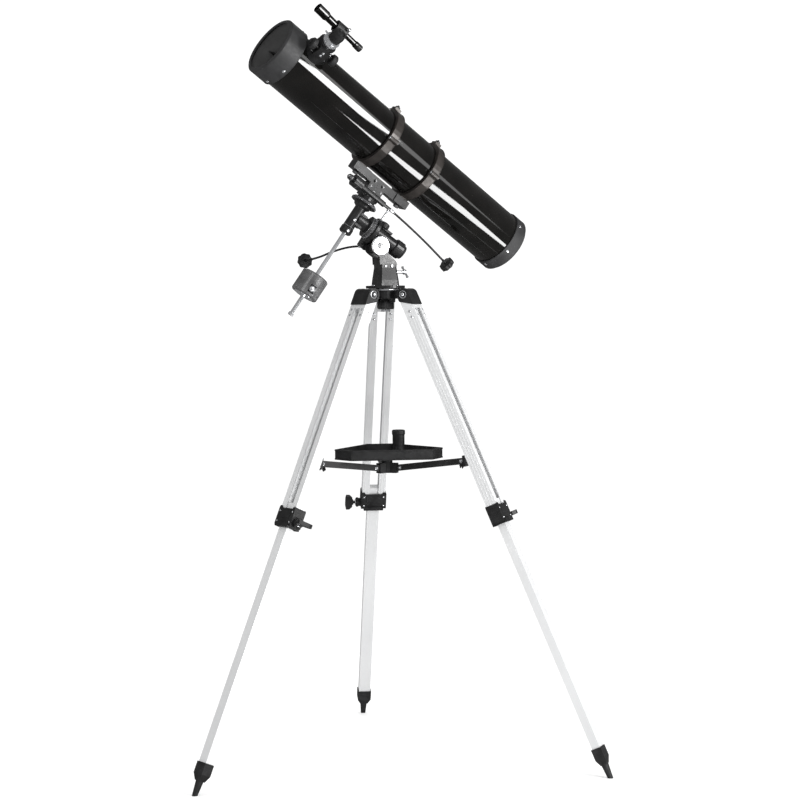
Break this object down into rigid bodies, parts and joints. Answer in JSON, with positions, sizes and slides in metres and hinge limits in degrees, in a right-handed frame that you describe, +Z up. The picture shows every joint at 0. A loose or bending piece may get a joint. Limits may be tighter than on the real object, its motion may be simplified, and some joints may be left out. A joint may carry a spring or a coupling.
{
  "type": "telescope on tripod",
  "caption": "Reflecting telescope in tube rings on a German equatorial mount with a counterweight, standing on an extending aluminium tripod with an accessory tray.",
  "frame": {"origin": "on the ground under the centre of the object's bounding box", "axes": "+Z up, with the tube's front towards -X and the latitude dial towards -Y"},
  "size_m": [1.0543, 1.0622, 2.0179],
  "materials": {
    "gloss": "gloss",
    "plastic": "satin",
    "graphite": "semi-gloss",
    "satin": "matte",
    "bronze": "semi-gloss",
    "aluminium": "satin",
    "chrome": "polished",
    "dial": "satin",
    "rubber": "matte",
    "cable": "ribbed",
    "mirror": "polished"
  },
  "bodies": {
    "base": {"tripod_hub": "graphite", "leg_yoke_a": "plastic", "upper_leg_a": "aluminium", "leg_clamp_a": "plastic", "spreader_arm_a": "plastic", "leg_yoke_b": "plastic", "upper_leg_b": "aluminium", "leg_clamp_b": "plastic", "spreader_arm_b": "plastic", "leg_yoke_c": "plastic", "upper_leg_c": "aluminium", "leg_clamp_c": "plastic", "spreader_arm_c": "plastic", "spreader_hub": "plastic"},
    "lower_leg_a": {"lower_leg_a": "aluminium", "foot_a": "rubber"},
    "leg_screw_a": {"leg_thumbscrew_a": "plastic"},
    "lower_leg_b": {"lower_leg_b": "aluminium", "foot_b": "rubber"},
    "leg_screw_b": {"leg_thumbscrew_b": "plastic"},
    "lower_leg_c": {"lower_leg_c": "aluminium", "foot_c": "rubber"},
    "leg_screw_c": {"leg_thumbscrew_c": "plastic"},
    "tray": {"accessory_tray": "plastic"},
    "spare_eyepiece": {"spare_eyepiece": "plastic"},
    "azimuth_knob": {"azimuth_knob": "plastic"},
    "azimuth": {"azimuth_base": "graphite", "latitude_dial": "dial"},
    "latitude_screw": {"latitude_screw": "chrome"},
    "polar": {"ra_housing": "graphite", "ra_cable": "cable"},
    "ra_circle": {"ra_setting_circle": "satin"},
    "ra_clutch": {"ra_clutch_knob": "plastic"},
    "ra_knob": {"ra_knob": "plastic"},
    "head": {"dec_housing": "graphite", "counterweight_rod": "chrome"},
    "counterweight": {"counterweight": "graphite"},
    "counterweight_screw": {"counterweight_screw": "chrome"},
    "dec_circle": {"dec_setting_circle": "satin"},
    "saddle": {"dec_head": "graphite", "dec_cable": "cable", "mounting_bar": "graphite", "ring_lower_front": "bronze", "ring_lower_rear": "bronze"},
    "dec_knob": {"dec_knob": "plastic"},
    "ring_upper_front": {"ring_upper_front": "bronze"},
    "ring_knob_front": {"ring_knob_front": "plastic"},
    "ring_upper_rear": {"ring_upper_rear": "bronze"},
    "ring_knob_rear": {"ring_knob_rear": "plastic"},
    "tube": {"optical_tube": "gloss", "front_ring": "satin", "rear_cell": "satin", "primary_mirror": "mirror", "secondary_mirror": "plastic", "focuser_body": "plastic", "finder_tube": "gloss", "finder_bracket": "plastic"},
    "drawtube": {"focuser_drawtube": "chrome"},
    "eyepiece": {"eyepiece": "plastic"},
    "focus_knobs": {"focus_knobs": "plastic"}
  },
  "joints": [
    {"name": "leg_slide_a", "type": "slide", "parent": "base", "child": "lower_leg_a", "axis": [0.3925, 0.0993, 0.9144], "range_m": [0, 0.54]},
    {"name": "leg_screw_turn_a", "type": "hinge", "parent": "base", "child": "leg_screw_a", "pos_m": [-0.21569, -0.21458, 0.67448], "axis": [0.2453, -0.9694, 0], "continuous": true},
    {"name": "leg_slide_b", "type": "slide", "parent": "base", "child": "lower_leg_b", "axis": [-0.2823, 0.2903, 0.9144], "range_m": [0, 0.54]},
    {"name": "leg_screw_turn_b", "type": "hinge", "parent": "base", "child": "leg_screw_b", "pos_m": [0.35484, -0.26802, 0.67448], "axis": [0.7169, 0.6972, 0], "continuous": true},
    {"name": "leg_slide_c", "type": "slide", "parent": "base", "child": "lower_leg_c", "axis": [-0.1102, -0.3896, 0.9144], "range_m": [0, 0.54]},
    {"name": "leg_screw_turn_c", "type": "hinge", "parent": "base", "child": "leg_screw_c", "pos_m": [0.11585, 0.2528, 0.67448], "axis": [-0.9622, 0.2723, 0], "continuous": true},
    {"name": "tray_lift", "type": "slide", "parent": "base", "child": "tray", "axis": [0, 0, 1], "range_m": [0, 0.12]},
    {"name": "spare_eyepiece_lift", "type": "slide", "parent": "tray", "child": "spare_eyepiece", "axis": [0, 0, 1], "range_m": [0, 0.12]},
    {"name": "azimuth_knob_turn", "type": "hinge", "parent": "base", "child": "azimuth_knob", "pos_m": [0.085, -0.0766, 1.24], "axis": [0, 0, 1], "continuous": true},
    {"name": "azimuth_turn", "type": "hinge", "parent": "base", "child": "azimuth", "pos_m": [0.085, -0.0766, 1.29], "axis": [0, 0, 1], "continuous": true},
    {"name": "latitude_screw_turn", "type": "hinge", "parent": "azimuth", "child": "latitude_screw", "pos_m": [0.125, -0.0766, 1.328], "axis": [-1, 0, 0], "continuous": true},
    {"name": "latitude_tilt", "type": "hinge", "parent": "azimuth", "child": "polar", "pos_m": [0.0596, -0.0766, 1.398], "axis": [0, 1, 0], "range_deg": [-20, 8]},
    {"name": "ra_circle_turn", "type": "hinge", "parent": "polar", "child": "ra_circle", "pos_m": [0.03854, -0.0766, 1.44664], "axis": [-0.8221, 0, 0.5693], "continuous": true},
    {"name": "ra_clutch_turn", "type": "hinge", "parent": "polar", "child": "ra_clutch", "pos_m": [0.07861, -0.0766, 1.44565], "axis": [0.5693, 0, 0.8221], "range_deg": [-40, 40]},
    {"name": "ra_knob_turn", "type": "hinge", "parent": "polar", "child": "ra_knob", "pos_m": [-0.05065, 0.155, 1.36596], "axis": [-0.052, 0.9964, -0.0673], "continuous": true},
    {"name": "ra_turn", "type": "hinge", "parent": "polar", "child": "head", "pos_m": [-0.00256, -0.0766, 1.4751], "axis": [-0.8221, 0, 0.5693], "range_deg": [-38, 70]},
    {"name": "counterweight_slide", "type": "slide", "parent": "head", "child": "counterweight", "axis": [0.5682, -0.061, 0.8206], "range_m": [-0.05, 0.12]},
    {"name": "counterweight_screw_turn", "type": "hinge", "parent": "counterweight", "child": "counterweight_screw", "pos_m": [-0.13543, -0.09238, 1.28321], "axis": [-0.0348, -0.9981, -0.0502], "continuous": true},
    {"name": "dec_circle_turn", "type": "hinge", "parent": "head", "child": "dec_circle", "pos_m": [0.02357, -0.07941, 1.51285], "axis": [0.5682, -0.061, 0.8206], "continuous": true},
    {"name": "dec_turn", "type": "hinge", "parent": "head", "child": "saddle", "pos_m": [0.02585, -0.07965, 1.51613], "axis": [0.5682, -0.061, 0.8206], "continuous": true},
    {"name": "dec_knob_turn", "type": "hinge", "parent": "saddle", "child": "dec_knob", "pos_m": [0.26503, -0.058, 1.36066], "axis": [0.7512, 0.1758, -0.6363], "continuous": true},
    {"name": "ring_open_front", "type": "hinge", "parent": "saddle", "child": "ring_upper_front", "pos_m": [0.06457, -0.19032, 1.67121], "axis": [0.817, 0.1604, -0.5538], "range_deg": [0, 100]},
    {"name": "ring_knob_turn_front", "type": "hinge", "parent": "ring_upper_front", "child": "ring_knob_front", "pos_m": [0.05551, -0.00511, 1.7115], "axis": [0.5713, -0.0954, 0.8152], "continuous": true},
    {"name": "ring_open_rear", "type": "hinge", "parent": "saddle", "child": "ring_upper_rear", "pos_m": [0.19285, -0.16513, 1.58427], "axis": [0.817, 0.1604, -0.5538], "range_deg": [0, 100]},
    {"name": "ring_knob_turn_rear", "type": "hinge", "parent": "ring_upper_rear", "child": "ring_knob_rear", "pos_m": [0.18379, 0.02008, 1.62456], "axis": [0.5713, -0.0954, 0.8152], "continuous": true},
    {"name": "tube_roll", "type": "hinge", "parent": "saddle", "child": "tube", "pos_m": [0.11631, -0.08937, 1.64677], "axis": [-0.817, -0.1604, 0.5538], "continuous": true},
    {"name": "focus_slide", "type": "slide", "parent": "tube", "child": "drawtube", "axis": [0.4402, -0.7939, 0.4194], "range_m": [-0.003, 0.03]},
    {"name": "eyepiece_pull", "type": "slide", "parent": "drawtube", "child": "eyepiece", "axis": [0.4402, -0.7939, 0.4194], "range_m": [0, 0.04]},
    {"name": "focus_knob_turn", "type": "hinge", "parent": "tube", "child": "focus_knobs", "pos_m": [-0.15638, -0.25032, 1.88581], "axis": [-0.817, -0.1604, 0.5538], "range_deg": [-35, 315]}
  ],
  "couplings": [
    {"joint": "focus_knob_turn", "follows": "focus_slide", "rad_per_m": 180}
  ]
}
